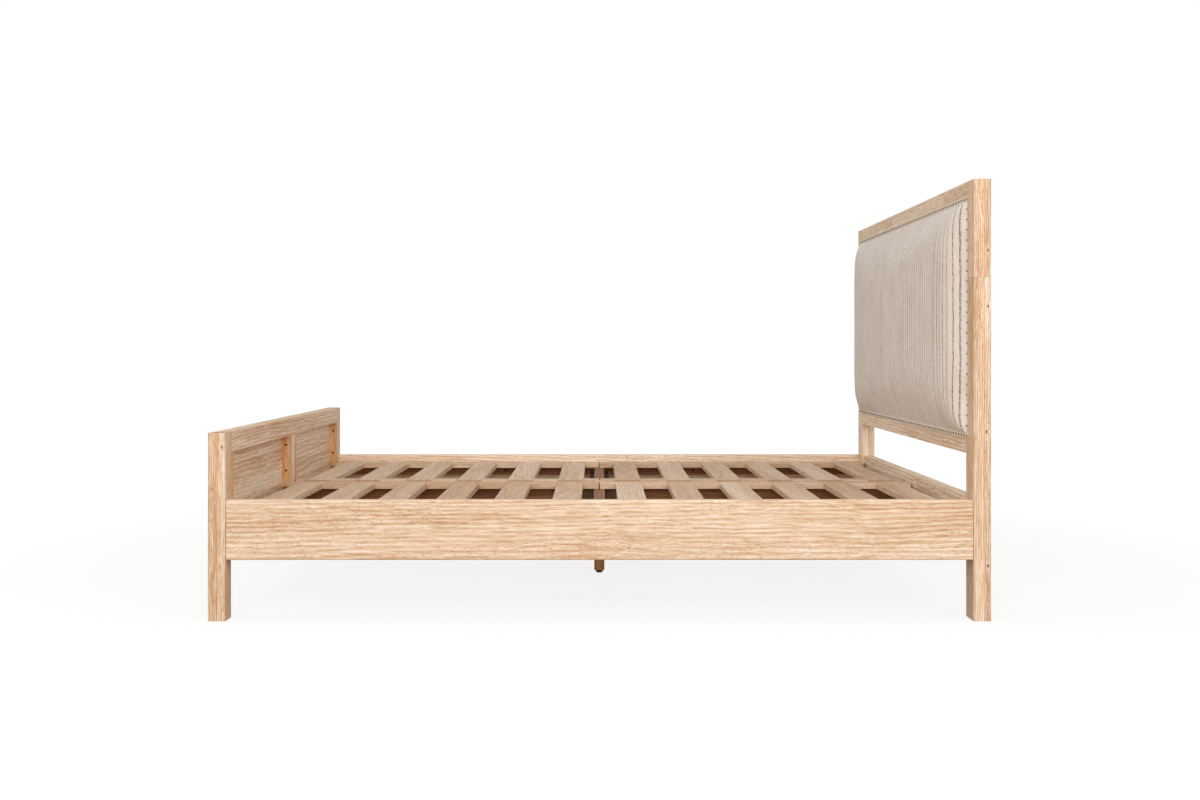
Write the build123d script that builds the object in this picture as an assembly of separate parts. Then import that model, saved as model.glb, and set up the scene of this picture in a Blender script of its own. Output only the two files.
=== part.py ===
from build123d import *
from math import cos, radians, sin
import os

# Upholstered bed frame in solid wood, with a low panelled footboard, a padded headboard,
# two deep side rails and a deck of four drop-in slat panels on ledgers and a cross of beams.
#
# Millimetres. +X runs to the head, +Y to the left of someone who stands at the foot and faces
# the headboard, and +Z up. The origin is on the floor, under the middle of the outer box.

# Mattress and the well that takes it
mattress_length = 2032.0
mattress_width = 1524.0
mattress_end_gap = 11.0
mattress_side_gap = 21.0

# Posts
post_thickness = 48.0
foot_post_width = 60.0
foot_post_height = 517.0
head_post_width = 78.0
head_post_height = 1215.0
post_outer_round = 3.0
post_inner_round = 1.0

# Side rails
side_rail_thickness = 35.0
side_rail_height = 164.0
side_rail_top = 332.0
side_rail_inset = 2.0
side_rail_round = 4.0

# Mortise and tenon joints
tenon_thickness = 14.0
tenon_length = 26.0
tenon_shoulder = 12.0
joint_play = 0.2
tenon_end_play = 1.0

# Headboard frame
head_rail_thickness = 35.0
head_top_rail_height = 75.0
head_lower_rail_bottom = 456.0
head_lower_rail_height = 75.0
head_bottom_rail_top = 333.0
head_bottom_rail_height = 165.0
head_bottom_rail_setback = 6.0
rail_round = 1.0

# Plywood base of the upholstery, in a rebate of the headboard frame
rebate_width = 12.0
base_board_thickness = 12.0
board_screw_columns = 8
board_screw_rows = 4

# Upholstery
pad_side_reveal = 50.0
pad_top_reveal = 42.0
pad_bottom_reveal = 42.0
pad_corner_radius = 6.0
pad_corner_spread = 0.45
pad_rise = 32.0
pad_roll = 70.0
pad_dome_rise = 5.0
pad_dome_share = 0.3
pad_roll_steps = 6
cover_thickness = 1.5
gimp_width = 13.0
gimp_thickness = 1.5
gimp_gap = 0.3
nailhead_radius = 3.0
nailhead_height = 2.0
nailhead_shank_radius = 0.8
nailhead_shank_length = 12.0
nailhead_pitch = 29.0
nailhead_edge_distance = 7.0

# Footboard frame
foot_top_rail_height = 57.0
foot_bottom_rail_thickness = 28.0
foot_bottom_rail_top = 310.0
foot_bottom_rail_height = 142.0
foot_panel_thickness = 15.0
foot_panel_setback = 25.0
foot_panel_groove = 9.0
muntin_width = 52.0
muntin_tenon_length = 13.0
muntin_tenon_margin = 1.0
cleat_width = 25.0
cleat_thickness = 25.0
cleat_bottom = 290.0
cleat_screw_heights = (345.0, 430.0)

# Slat deck of four ladder panels
deck_top = 306.0
slat_thickness = 18.0
slat_width = 85.0
slat_count = 6
slat_inner_overhang = 52.0
slat_outer_overhang = 30.0
slat_lap_play = 0.15
slat_round = 1.5
ladder_inner_rail_width = 62.0
ladder_outer_rail_width = 85.0
panel_centre_gap = 4.0
panel_seam_gap = 60.0
panel_edge_gap = 3.0
stop_block_length = 34.0
stop_block_width = 56.0

# Ledgers that carry the panels on the side rails
ledger_width = 22.0
ledger_height = 30.0
ledger_end_gap = 10.0
ledger_beam_gap = 4.0
ledger_screw_pitch = 245.0

# Beams and the steel stirrups that hang them
crossbeam_width = 35.0
centre_beam_width = 85.0
beam_height = 70.0
beam_end_gap = 1.0
stirrup_thickness = 2.0
stirrup_play = 0.2
stirrup_height = 58.0
stirrup_depth = 34.0
stirrup_flange = 18.0

# Centre leg and its levelling glide
leg_width = 34.0
leg_chamfer = 5.0
leg_foot_gap = 0.3
leg_bore_play = 0.5
dowel_screw_radius = 4.0
dowel_screw_length = 80.0
glide_radius = 11.0
glide_height = 6.5
glide_edge_chamfer = 1.5
glide_pocket_floor = 3.0
glide_collar_radius = 6.5
glide_collar_height = 1.8
glide_stem_radius = 4.0
glide_stem_length = 42.0
glide_insert_radius = 6.0
glide_insert_length = 18.0
turning_play = 0.05

# Bed bolts with barrel nuts
bolt_radius = 4.0
bolt_play = 0.5
bolt_edge_distance = 32.0
bolt_reach = 60.0
bolt_head_radius = 7.0
bolt_head_height = 5.0
bolt_counterbore_radius = 11.0
bolt_counterbore_depth = 10.0
washer_radius = 10.0
washer_thickness = 1.6
barrel_nut_radius = 5.0
barrel_nut_length = 18.0
barrel_nut_set = 45.0

# Wood screws and brads
screw_head_radius = 4.0
screw_head_height = 2.5
screw_shank_radius = 2.0
screw_recess = 6.0
wood_screw_length = 38.0
board_screw_length = 28.0
stirrup_screw_length = 15.0
stirrup_hole_play = 0.3
brad_radius = 1.2
brad_length = 15.0
brad_edge_distance = 20.0

# Places worked out from the sizes above
well_x = mattress_length / 2 + mattress_end_gap
well_y = mattress_width / 2 + mattress_side_gap
outer_x = well_x + post_thickness
side_rail_face_y = well_y + side_rail_thickness
outer_y = side_rail_face_y + side_rail_inset
side_rail_bottom = side_rail_top - side_rail_height
foot_shoulder_y = outer_y - foot_post_width
head_shoulder_y = outer_y - head_post_width
head_top_rail_bottom = head_post_height - head_top_rail_height
head_lower_rail_top = head_lower_rail_bottom + head_lower_rail_height
head_bottom_rail_face_x = well_x + head_bottom_rail_setback
foot_top_rail_bottom = foot_post_height - foot_top_rail_height
foot_bottom_rail_face_x = -outer_x + foot_bottom_rail_thickness
foot_panel_face_x = -well_x - foot_panel_setback
deck_bottom = deck_top - slat_thickness
beam_bottom = deck_bottom - beam_height
crossbeam_half = crossbeam_width / 2
centre_beam_half = centre_beam_width / 2
muntin_half = muntin_width / 2
pad_width = 2 * (outer_y - pad_side_reveal)
pad_bottom = head_lower_rail_bottom + pad_bottom_reveal
pad_top = head_post_height - pad_top_reveal
pad_height = pad_top - pad_bottom
pad_dome_inset = pad_dome_share * pad_height
pad_plane = Plane(origin=(well_x, 0, (pad_bottom + pad_top) / 2), x_dir=(0, -1, 0), z_dir=(-1, 0, 0))
foam_inset = gimp_width + gimp_gap + cover_thickness

# Rails of the two ends, each as its limits on X and on Z
head_rails = {
    "headboard_top_rail": (
        (well_x, well_x + head_rail_thickness),
        (head_top_rail_bottom, head_post_height),
    ),
    "headboard_lower_rail": (
        (well_x, well_x + head_rail_thickness),
        (head_lower_rail_bottom, head_lower_rail_top),
    ),
    "headboard_bottom_rail": (
        (head_bottom_rail_face_x, head_bottom_rail_face_x + head_rail_thickness),
        (head_bottom_rail_top - head_bottom_rail_height, head_bottom_rail_top),
    ),
}
foot_rails = {
    "footboard_top_rail": (
        (-outer_x, -well_x),
        (foot_top_rail_bottom, foot_post_height),
    ),
    "footboard_bottom_rail": (
        (-outer_x, foot_bottom_rail_face_x),
        (foot_bottom_rail_top - foot_bottom_rail_height, foot_bottom_rail_top),
    ),
}


def block(x, y, z):
    """A box between two limits on each axis."""
    size = (x[1] - x[0], y[1] - y[0], z[1] - z[0])
    middle = ((x[0] + x[1]) / 2, (y[0] + y[1]) / 2, (z[0] + z[1]) / 2)
    return Pos(*middle) * Box(*size)


def rod(start, heading, radius, length):
    """A round bar that leaves start along heading."""
    bar = Cylinder(radius, length, align=(Align.CENTER, Align.CENTER, Align.MIN))
    return Plane(origin=start, z_dir=heading) * bar


def screw(start, heading, length):
    """A flat-headed wood screw: the top of its head is at start."""
    head = rod(start, heading, screw_head_radius, screw_head_height)
    return head + rod(start, heading, screw_shank_radius, length)


def left_to_right(shape):
    """The same shape on the other side of the bed."""
    return shape.mirror(Plane.XZ)


def head_to_foot(shape):
    """The same shape at the other end of the bed."""
    return shape.mirror(Plane.YZ)


def rounded(shape, direction, radius):
    """The shape with the edges that run along one axis rounded."""
    return fillet(shape.edges().filter_by(direction), radius)


def evenly(low, high, count):
    """Places spread evenly between two limits, half a step in from each."""
    step = (high - low) / count
    return [low + step * (index + 0.5) for index in range(count)]


def save(node, *pieces):
    """Write one node, which may be a group of separate solids."""
    solids = [solid for piece in pieces for solid in piece.solids()]
    shape = solids[0] if len(solids) == 1 else Compound(solids)
    export_step(shape, f"parts/{node}.step")


def end_tenon(middle_x, shoulder_y, z, side_play=0.0, end_play=0.0):
    """A tenon past a shoulder on the left side or, with play, the mortise that takes it."""
    half = tenon_thickness / 2 + side_play
    return block(
        (middle_x - half, middle_x + half),
        (shoulder_y - tenon_shoulder, shoulder_y + tenon_length + end_play),
        (z[0] + tenon_shoulder - side_play, z[1] - tenon_shoulder + side_play),
    )


def cross_rail(x, shoulder_y, z):
    """A rail across the bed with a tenon at each end."""
    body = rounded(block(x, (-shoulder_y, shoulder_y), z), Axis.Y, rail_round)
    tenon = end_tenon((x[0] + x[1]) / 2, shoulder_y, z)
    return body + tenon + left_to_right(tenon)


def mortises(rails, shoulder_y):
    """The pockets in the left post for the left ends of its cross rails."""
    return [end_tenon((x[0] + x[1]) / 2, shoulder_y, z, joint_play, tenon_end_play)
            for x, z in rails.values()]


def post(x, width, height):
    """A left post: its outer corners are softened more than its inner ones."""
    body = block(x, (outer_y - width, outer_y), (0, height))
    body = fillet(body.edges().filter_by(Axis.Z).group_by(Axis.Y)[-1], post_outer_round)
    body = fillet(body.edges().filter_by(Axis.Z).group_by(Axis.Y)[0], post_inner_round)
    return fillet(body.edges().group_by(Axis.Z)[-1], post_inner_round)


def bolt_parts():
    """Bolts, washers, barrel nuts and the holes for them, at the left head corner."""
    bolts, washers, nuts, holes = [], [], [], []
    to_foot = (-1, 0, 0)
    bolt_y = well_y + side_rail_thickness / 2
    seat_x = outer_x - bolt_counterbore_depth
    top_x = seat_x + washer_thickness + bolt_head_height
    tip_x = well_x - bolt_reach
    nut_x = well_x - barrel_nut_set
    nut_y = bolt_y - barrel_nut_length / 2
    pocket_y = well_y - bolt_play
    for z in (side_rail_bottom + bolt_edge_distance, side_rail_top - bolt_edge_distance):
        head = rod((top_x, bolt_y, z), to_foot, bolt_head_radius, bolt_head_height)
        bolts.append(head + rod((top_x, bolt_y, z), to_foot, bolt_radius, top_x - tip_x))
        clearance = rod((outer_x, bolt_y, z), to_foot, bolt_radius + bolt_play,
                        outer_x - tip_x + bolt_play)
        thread = rod((outer_x, bolt_y, z), to_foot, bolt_radius + turning_play, outer_x - tip_x)
        washer = rod((seat_x + washer_thickness, bolt_y, z), to_foot, washer_radius, washer_thickness)
        washers.append(washer - clearance)
        nuts.append(rod((nut_x, nut_y, z), (0, 1, 0), barrel_nut_radius, barrel_nut_length) - thread)
        holes.append(clearance)
        holes.append(rod((outer_x, bolt_y, z), to_foot, bolt_counterbore_radius, bolt_counterbore_depth))
        holes.append(rod((nut_x, pocket_y, z), (0, 1, 0), barrel_nut_radius + turning_play,
                         nut_y + barrel_nut_length - pocket_y))
    return bolts, washers, nuts, holes


def four_corners(shapes):
    """The left head corner's shapes at all four corners."""
    left = shapes + [head_to_foot(shape) for shape in shapes]
    return left + [left_to_right(shape) for shape in left]


def base_board(play):
    """Plywood base of the upholstery or, without play, the rebate it lies in."""
    reach = rebate_width - play
    return block(
        (well_x, well_x + base_board_thickness),
        (-head_shoulder_y - reach, head_shoulder_y + reach),
        (head_lower_rail_top - reach, head_top_rail_bottom + reach),
    )


def base_board_screws():
    """Screws through the plywood into the frame, all round the rebate."""
    inset = rebate_width / 2
    places = []
    for y in evenly(-head_shoulder_y, head_shoulder_y, board_screw_columns):
        places += [(y, head_lower_rail_top - inset), (y, head_top_rail_bottom + inset)]
    for z in evenly(head_lower_rail_top, head_top_rail_bottom, board_screw_rows):
        places += [(-head_shoulder_y - inset, z), (head_shoulder_y + inset, z)]
    return [screw((well_x, y, z), (1, 0, 0), board_screw_length) for y, z in places]


def pad_outline(inset, radius):
    """The pad's rectangle, drawn in by inset, with rounded corners."""
    return RectangleRounded(pad_width - 2 * inset, pad_height - 2 * inset, radius)


def crown(edge_inset, rise):
    """Crowned cushion body: outlines that draw in as they rise along a quarter ellipse, then a
    last one that lifts the middle a little."""
    def outline(inset, lift):
        radius = pad_corner_radius + pad_corner_spread * inset
        return pad_plane.offset(lift) * pad_outline(edge_inset + inset, radius)
    steps = [radians(90 * step / pad_roll_steps) for step in range(pad_roll_steps + 1)]
    outlines = [outline(pad_roll * (1 - cos(angle)), rise * sin(angle)) for angle in steps]
    outlines.append(outline(pad_dome_inset, rise + pad_dome_rise))
    return loft(outlines, ruled=True)


def flat_ring(inner_inset, lift, thickness):
    """A flat band along the pad's outline."""
    band = pad_outline(0, pad_corner_radius) - pad_outline(inner_inset, pad_corner_radius)
    return extrude(pad_plane.offset(lift) * band, thickness)


def cushion():
    """The foam, and the cloth over it, which lies flat on the wood round its edge."""
    foam = crown(foam_inset, pad_rise)
    skin = crown(foam_inset - cover_thickness, pad_rise + cover_thickness)
    return foam, skin + flat_ring(foam_inset, 0, cover_thickness) - foam


def nailhead_places():
    """Middles of the nailheads on the trim, evenly pitched along each side."""
    half_width = pad_width / 2 - nailhead_edge_distance
    half_height = pad_height / 2 - nailhead_edge_distance
    across = round(2 * half_width / nailhead_pitch)
    upward = round(2 * half_height / nailhead_pitch)
    places = []
    for index in range(across + 1):
        x = -half_width + 2 * half_width * index / across
        places += [(x, -half_height), (x, half_height)]
    for index in range(1, upward):
        y = -half_height + 2 * half_height * index / upward
        places += [(-half_width, y), (half_width, y)]
    return places


def nailhead():
    """A domed nail: its head stands on the plane z = 0 and its shank goes below."""
    ball_radius = (nailhead_radius ** 2 + nailhead_height ** 2) / (2 * nailhead_height)
    side = (-ball_radius, ball_radius)
    cap = Pos(0, 0, nailhead_height - ball_radius) * Sphere(ball_radius)
    cap = cap & block(side, side, (0, nailhead_height))
    return cap + rod((0, 0, 0), (0, 0, -1), nailhead_shank_radius, nailhead_shank_length)


def foot_panel(play):
    """The left footboard panel or, without play, the groove round it."""
    edge = foot_panel_groove - play
    return block(
        (foot_panel_face_x - foot_panel_thickness, foot_panel_face_x),
        (muntin_half - edge, foot_shoulder_y + edge),
        (foot_bottom_rail_top - edge, foot_top_rail_bottom + edge),
    )


def muntin_tenons(play=0.0, end_play=0.0):
    """The muntin's stub tenons into the two rails, in line with the panel grooves."""
    x = (foot_panel_face_x - foot_panel_thickness + muntin_tenon_margin - play,
         foot_panel_face_x - muntin_tenon_margin + play)
    half = muntin_half - foot_panel_groove - muntin_tenon_margin + play
    length = muntin_tenon_length + end_play
    return [
        block(x, (-half, half), (foot_bottom_rail_top - length, foot_bottom_rail_top)),
        block(x, (-half, half), (foot_top_rail_bottom, foot_top_rail_bottom + length)),
    ]


def footboard_front(x_back, y):
    """An upright from x_back to the footboard's face, which laps down over the bottom rail."""
    upper = block((x_back, -well_x), y, (foot_bottom_rail_top, foot_top_rail_bottom))
    lower = block((foot_bottom_rail_face_x, -well_x), y, (cleat_bottom, foot_bottom_rail_top))
    return upper + lower


def cleat_fasteners(face_y, heading_y):
    """The deep-set screws through one cleat's side, and the holes their heads lie in."""
    x = -well_x - cleat_thickness / 2
    screws, recesses = [], []
    for z in cleat_screw_heights:
        start = (x, face_y + heading_y * screw_recess, z)
        screws.append(screw(start, (0, heading_y, 0), wood_screw_length))
        recesses.append(rod((x, face_y, z), (0, heading_y, 0), screw_head_radius, screw_recess))
    return screws, recesses


def ledger_fasteners():
    """Screws that hold the left ledgers to the side rail, and the holes their heads lie in."""
    inner_y = well_y - ledger_width
    z = deck_bottom - ledger_height / 2
    first = ledger_screw_pitch / 2
    count = int((well_x - ledger_end_gap - first) // ledger_screw_pitch) + 1
    screws, recesses = [], []
    for index in range(count):
        for x in (first + ledger_screw_pitch * index, -first - ledger_screw_pitch * index):
            screws.append(screw((x, inner_y + screw_recess, z), (0, 1, 0), wood_screw_length))
            recesses.append(rod((x, inner_y, z), (0, 1, 0), screw_head_radius, screw_recess))
    return screws, recesses


def stirrup(beam_half):
    """A bent steel stirrup on a support face at x = 0, with its screws. The beam leaves along
    +X and its underside is at z = 0."""
    inner = beam_half + stirrup_play
    outer = inner + stirrup_thickness
    reach = outer + stirrup_flange
    rise = (-stirrup_thickness, stirrup_height)
    body = block((0, stirrup_depth), (-outer, outer), (-stirrup_thickness, 0))
    screws = []
    for side in (-1, 1):
        wall_y = sorted((side * inner, side * outer))
        flange_y = sorted((side * inner, side * reach))
        body += block((0, stirrup_depth), wall_y, rise)
        body += block((0, stirrup_thickness), flange_y, rise)
        y = side * (outer + reach) / 2
        for z in evenly(0, stirrup_height, 2):
            top_x = stirrup_thickness + screw_head_height
            screws.append(screw((top_x, y, z), (-1, 0, 0), top_x + stirrup_screw_length))
            body -= rod((0, y, z), (1, 0, 0), screw_shank_radius + stirrup_hole_play, stirrup_thickness)
    return body, screws


def stirrup_parts():
    """All six stirrups in place, and their screws."""
    spots = [
        (crossbeam_half, Location((0, -well_y, beam_bottom), (0, 0, 90))),
        (crossbeam_half, Location((0, well_y, beam_bottom), (0, 0, -90))),
        (centre_beam_half, Location((foot_bottom_rail_face_x, 0, beam_bottom), (0, 0, 0))),
        (centre_beam_half, Location((-crossbeam_half, 0, beam_bottom), (0, 0, 180))),
        (centre_beam_half, Location((crossbeam_half, 0, beam_bottom), (0, 0, 0))),
        (centre_beam_half, Location((head_bottom_rail_face_x, 0, beam_bottom), (0, 0, 180))),
    ]
    bodies, screws = [], []
    for beam_half, spot in spots:
        body, own_screws = stirrup(beam_half)
        bodies.append(spot * body)
        screws += [spot * item for item in own_screws]
    return bodies, screws


def slat_places():
    """Inner edges of a panel's slats along X, evenly spaced."""
    inner = panel_centre_gap / 2 + slat_inner_overhang
    outer = well_x - panel_edge_gap - slat_outer_overhang - slat_width
    step = (outer - inner) / (slat_count - 1)
    return [inner + step * index for index in range(slat_count)]


def slat_panel():
    """The left head panel of the deck: two long rails, slats half-lapped into them, and brads."""
    x = (panel_centre_gap / 2, well_x - panel_edge_gap)
    y = (panel_seam_gap / 2, well_y - panel_edge_gap)
    z = (deck_bottom, deck_top)
    lap_z = deck_bottom + slat_thickness / 2
    inner_y = (y[0], y[0] + ladder_inner_rail_width)
    outer_y_limits = (y[1] - ladder_outer_rail_width, y[1])
    slats, notches, brads = [], [], []
    for x_low in slat_places():
        x_high = x_low + slat_width
        notches.append(block((x_low - slat_lap_play, x_high + slat_lap_play), y, (lap_z, deck_top)))
        own_brads = [
            rod((brad_x, sum(rail_y) / 2, deck_top), (0, 0, -1), brad_radius, brad_length)
            for brad_x in (x_low + brad_edge_distance, x_high - brad_edge_distance)
            for rail_y in (inner_y, outer_y_limits)
        ]
        slat = rounded(block((x_low, x_high), y, z), Axis.Y, slat_round)
        laps = [block((x_low, x_high), rail_y, (deck_bottom, lap_z))
                for rail_y in (inner_y, outer_y_limits)]
        slats.append(slat - (laps + own_brads))
        brads += own_brads
    rails = [rounded(block(x, rail_y, z), Axis.X, slat_round) - (notches + brads)
             for rail_y in (inner_y, outer_y_limits)]
    return {"inner_rail": [rails[0]], "outer_rail": [rails[1]], "slats": slats, "brads": brads}


def save_centre_leg():
    """Save the centre leg with its hanger screw and its levelling glide."""
    half = leg_width / 2
    up = (0, 0, 1)
    leg_bottom = glide_height + leg_foot_gap
    stem_top = glide_pocket_floor + glide_stem_length
    insert = rod((0, 0, leg_bottom), up, glide_insert_radius, glide_insert_length)
    thread = rod((0, 0, leg_bottom), up, glide_stem_radius + turning_play, glide_insert_length)
    bore = rod((0, 0, leg_bottom), up, glide_stem_radius + leg_bore_play,
               stem_top - leg_bottom + leg_bore_play)
    leg = block((-half, half), (-half, half), (leg_bottom, beam_bottom))
    leg = chamfer(leg.edges().group_by(Axis.Z)[0], leg_chamfer)
    save("centre_leg", leg - [insert, bore, dowel_screw()])
    save("leg_dowel_screw", dowel_screw())
    save("glide_insert", insert - thread)

    base = rod((0, 0, 0), up, glide_radius, glide_height)
    base = chamfer(base.edges().group_by(Axis.Z)[0], glide_edge_chamfer)
    pocket = rod((0, 0, glide_pocket_floor - turning_play), up, glide_collar_radius + turning_play,
                 glide_collar_height + 2 * turning_play)
    neck = rod((0, 0, glide_pocket_floor), up, glide_stem_radius + turning_play, glide_height)
    collar = rod((0, 0, glide_pocket_floor), up, glide_collar_radius, glide_collar_height)
    save("glide_base", base - [pocket, neck])
    save("glide_stem", collar + rod((0, 0, glide_pocket_floor), up, glide_stem_radius, glide_stem_length))


def dowel_screw():
    """The screw that joins the centre leg to the crossbeam."""
    start = (0, 0, beam_bottom - dowel_screw_length / 2)
    return rod(start, (0, 0, 1), dowel_screw_radius, dowel_screw_length)


def save_headboard(bolt_holes, stirrup_screws):
    """Save the posts, rails, plywood base and upholstery of the head end."""
    board_screws = base_board_screws()
    foam, cover = cushion()
    nail = nailhead()
    seat = pad_plane.offset(cover_thickness + gimp_thickness)
    nails = [seat * (Pos(x, y, 0) * nail) for x, y in nailhead_places()]
    shanks = [
        seat * (Pos(x, y, 0) * rod((0, 0, 0), (0, 0, -1), nailhead_shank_radius, nailhead_shank_length))
        for x, y in nailhead_places()
    ]
    cuts = [base_board(0)] + board_screws + shanks

    left = post((well_x, outer_x), head_post_width, head_post_height)
    left = left - (mortises(head_rails, head_shoulder_y) + bolt_holes)
    left = left - cuts
    save("head_post_left", left)
    save("head_post_right", left_to_right(left))
    for node, (x, z) in head_rails.items():
        low = node == "headboard_bottom_rail"
        save(node, cross_rail(x, head_shoulder_y, z) - (stirrup_screws if low else cuts))
    save("headboard_base_board", base_board(joint_play) - board_screws)
    save("base_board_screws", *board_screws)
    save("pad_foam", foam)
    save("pad_cover", cover - shanks)
    save("pad_gimp", flat_ring(gimp_width, cover_thickness, gimp_thickness) - shanks)
    save("pad_nailheads", *nails)


def save_footboard(bolt_holes, stirrup_screws):
    """Save the posts, rails, panels and cleats of the foot end."""
    post_cleat_y = (foot_shoulder_y - cleat_width, foot_shoulder_y)
    muntin_cleat_y = (muntin_half, muntin_half + cleat_width)
    post_screws, post_recesses = cleat_fasteners(post_cleat_y[0], 1)
    muntin_screws, muntin_recesses = cleat_fasteners(muntin_cleat_y[1], -1)
    grooves = [foot_panel(0), left_to_right(foot_panel(0))]
    all_screws = post_screws + muntin_screws
    all_screws += [left_to_right(item) for item in all_screws]

    left = post((-outer_x, -well_x), foot_post_width, foot_post_height)
    left = left - (mortises(foot_rails, foot_shoulder_y) + bolt_holes)
    left = left - (grooves + post_screws)
    save("foot_post_left", left)
    save("foot_post_right", left_to_right(left))
    for node, (x, z) in foot_rails.items():
        rail = cross_rail(x, foot_shoulder_y, z) - grooves
        save(node, rail - (muntin_tenons(joint_play, tenon_end_play) + stirrup_screws))
    middle = footboard_front(-outer_x, (-muntin_half, muntin_half)) - grooves
    for tenon in muntin_tenons():
        middle = middle + tenon
    save("footboard_muntin", middle - all_screws)
    save("footboard_panel_left", foot_panel(joint_play))
    save("footboard_panel_right", left_to_right(foot_panel(joint_play)))
    cleat_back_x = -well_x - cleat_thickness
    by_post = footboard_front(cleat_back_x, post_cleat_y) - (post_screws + post_recesses)
    by_muntin = footboard_front(cleat_back_x, muntin_cleat_y) - (muntin_screws + muntin_recesses)
    save("cleat_left_post", by_post)
    save("cleat_right_post", left_to_right(by_post))
    save("cleat_left_muntin", by_muntin)
    save("cleat_right_muntin", left_to_right(by_muntin))
    save("cleat_screws", *all_screws)


def save_sides(bolt_holes, stirrup_screws):
    """Save the side rails and the ledgers on them."""
    screws, recesses = ledger_fasteners()
    rail = block((-well_x, well_x), (well_y, side_rail_face_y), (side_rail_bottom, side_rail_top))
    rail = fillet(rail.edges(), side_rail_round)
    rail = rail - (bolt_holes + [head_to_foot(hole) for hole in bolt_holes])
    rail = rail - (screws + stirrup_screws)
    save("side_rail_left", rail)
    save("side_rail_right", left_to_right(rail))
    x_low = crossbeam_half + stirrup_play + stirrup_thickness + stirrup_flange + ledger_beam_gap
    ahead = block((x_low, well_x - ledger_end_gap), (well_y - ledger_width, well_y),
                  (deck_bottom - ledger_height, deck_bottom))
    strips = [strip - (screws + recesses) for strip in (ahead, head_to_foot(ahead))]
    save("ledger_left", *strips)
    save("ledger_right", *[left_to_right(strip) for strip in strips])
    save("ledger_screws", *screws, *[left_to_right(item) for item in screws])


def save_beams(stirrups, stirrup_screws):
    """Save the beams, their stirrups and the block on top of the crossing."""
    z = (beam_bottom, deck_bottom)
    across = (-well_y + beam_end_gap, well_y - beam_end_gap)
    width = (-centre_beam_half, centre_beam_half)
    inner = crossbeam_half + beam_end_gap
    block_screw = screw((0, 0, deck_top - screw_recess), (0, 0, -1), wood_screw_length)
    recess = rod((0, 0, deck_top), (0, 0, -1), screw_head_radius, screw_recess)
    crossbeam = block((-crossbeam_half, crossbeam_half), across, z)
    stop_block = block(
        (-stop_block_length / 2, stop_block_length / 2),
        (-stop_block_width / 2, stop_block_width / 2),
        (deck_bottom, deck_top),
    )
    save("crossbeam", crossbeam - ([dowel_screw(), block_screw] + stirrup_screws))
    save("centre_beam_head", block((inner, head_bottom_rail_face_x - beam_end_gap), width, z))
    save("centre_beam_foot", block((foot_bottom_rail_face_x + beam_end_gap, -inner), width, z))
    save("beam_stirrups", *stirrups)
    save("stirrup_screws", *stirrup_screws)
    save("panel_stop_block", stop_block - [recess, block_screw])
    save("stop_block_screw", block_screw)


def save_deck():
    """Save the four drop-in panels, each made from the left head one."""
    for side in ("left", "right"):
        for end in ("head", "foot"):
            for group, shapes in slat_panel().items():
                if side == "right":
                    shapes = [left_to_right(shape) for shape in shapes]
                if end == "foot":
                    shapes = [head_to_foot(shape) for shape in shapes]
                save(f"panel_{end}_{side}_{group}", *shapes)


os.makedirs("parts", exist_ok=True)
bed_bolts, bolt_washers, barrel_nuts, head_bolt_holes = bolt_parts()
foot_bolt_holes = [head_to_foot(hole) for hole in head_bolt_holes]
beam_stirrups, beam_stirrup_screws = stirrup_parts()

save_headboard(head_bolt_holes, beam_stirrup_screws)
save_footboard(foot_bolt_holes, beam_stirrup_screws)
save_sides(head_bolt_holes, beam_stirrup_screws)
save_beams(beam_stirrups, beam_stirrup_screws)
save_centre_leg()
save_deck()
save("bed_bolts", *four_corners(bed_bolts))
save("bolt_washers", *four_corners(bolt_washers))
save("barrel_nuts", *four_corners(barrel_nuts))
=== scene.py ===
import math

import bpy
import numpy as np
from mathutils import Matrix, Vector


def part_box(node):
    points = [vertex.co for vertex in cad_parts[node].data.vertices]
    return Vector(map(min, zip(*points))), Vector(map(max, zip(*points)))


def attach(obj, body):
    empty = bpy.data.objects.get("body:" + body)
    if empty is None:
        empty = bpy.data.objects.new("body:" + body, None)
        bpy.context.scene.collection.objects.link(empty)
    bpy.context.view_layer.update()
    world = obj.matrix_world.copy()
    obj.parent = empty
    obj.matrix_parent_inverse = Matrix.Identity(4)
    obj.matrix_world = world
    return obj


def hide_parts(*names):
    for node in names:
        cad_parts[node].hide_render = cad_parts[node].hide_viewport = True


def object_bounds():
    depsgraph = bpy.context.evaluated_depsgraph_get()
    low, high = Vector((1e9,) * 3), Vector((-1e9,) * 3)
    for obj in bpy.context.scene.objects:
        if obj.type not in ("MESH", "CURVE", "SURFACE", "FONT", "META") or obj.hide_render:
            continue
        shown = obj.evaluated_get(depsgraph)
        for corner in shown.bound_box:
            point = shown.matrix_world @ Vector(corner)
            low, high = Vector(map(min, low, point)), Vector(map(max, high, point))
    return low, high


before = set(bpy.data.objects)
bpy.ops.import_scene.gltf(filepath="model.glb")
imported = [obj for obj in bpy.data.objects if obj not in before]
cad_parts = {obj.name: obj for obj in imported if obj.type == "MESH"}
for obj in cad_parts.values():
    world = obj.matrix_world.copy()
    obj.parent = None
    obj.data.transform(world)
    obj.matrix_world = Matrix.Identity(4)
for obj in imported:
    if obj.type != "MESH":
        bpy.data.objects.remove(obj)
cad_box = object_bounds()

# Upholstered bed frame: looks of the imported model. Metres, in the model's own frame: +X to the
# head, +Y to the far side of the picture, +Z up.

MM = 0.001

# Camera, as fitted to the straight edges of the picture
PICTURE_WIDTH = 1200
PICTURE_HEIGHT = 800
CAMERA_X = -0.0021
CAMERA_HEIGHT = 0.7443
CAMERA_DISTANCE = 3.6846
FOCAL_PIXELS = 1343.1
VANISHING_X = 598.7
VANISHING_Y = 350.15
SENSOR_WIDTH = 36.0

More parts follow.
